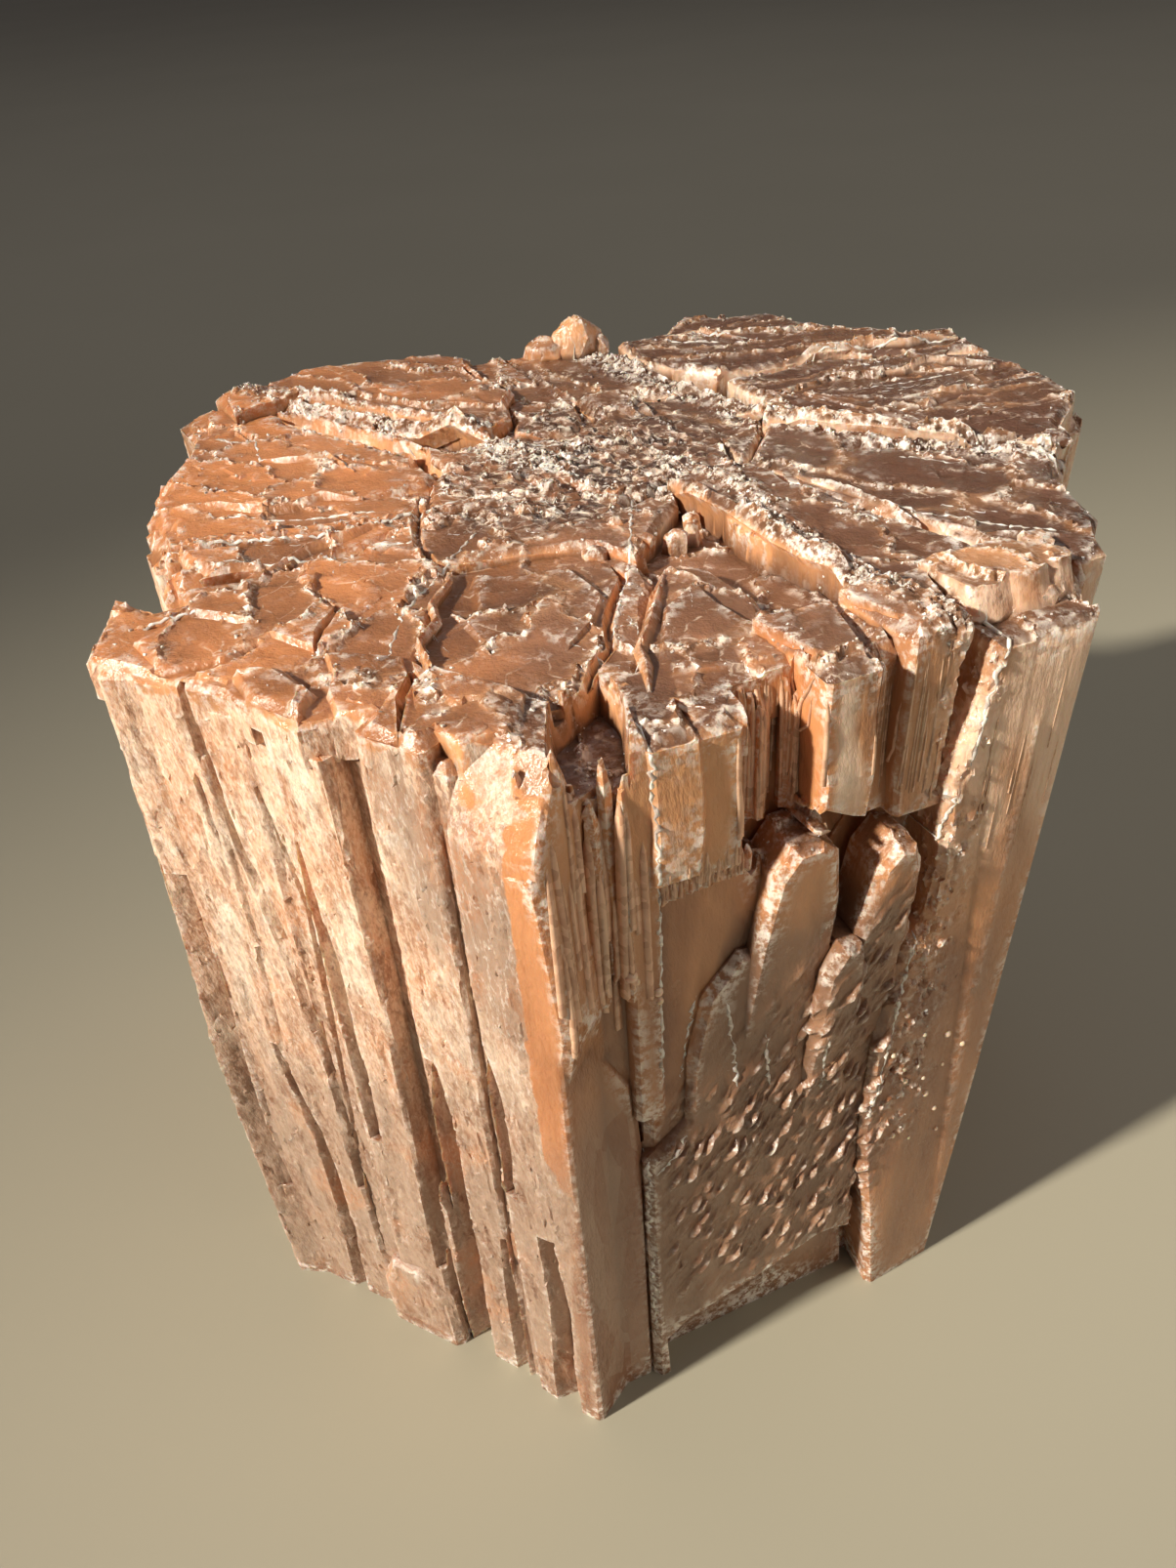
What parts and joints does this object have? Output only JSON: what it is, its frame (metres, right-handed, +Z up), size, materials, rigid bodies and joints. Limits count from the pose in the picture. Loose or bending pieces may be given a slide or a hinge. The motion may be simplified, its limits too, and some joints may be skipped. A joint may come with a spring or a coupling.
{
  "type": "aragonite crystal",
  "caption": "Stubby brown aragonite twin: upright laths grown into a rough six-sided column, with a ridged, plated top and a flat cut base to stand on.",
  "frame": {"origin": "in the flat cut base, on the growth axis near the middle of the plan", "axes": "+Z up along the growth axis and the laths; +X to the right and +Y to the back when the sharp front corner faces the viewer at -Y"},
  "size_m": [0.0348, 0.0343, 0.0316],
  "materials": {
    "aragonite": "translucent brown crystal, satin flats, sparkling broken edges, pale striated flanks"
  },
  "bodies": {
    "root": {"aragonite_crystal": "aragonite"}
  },
  "joints": []
}
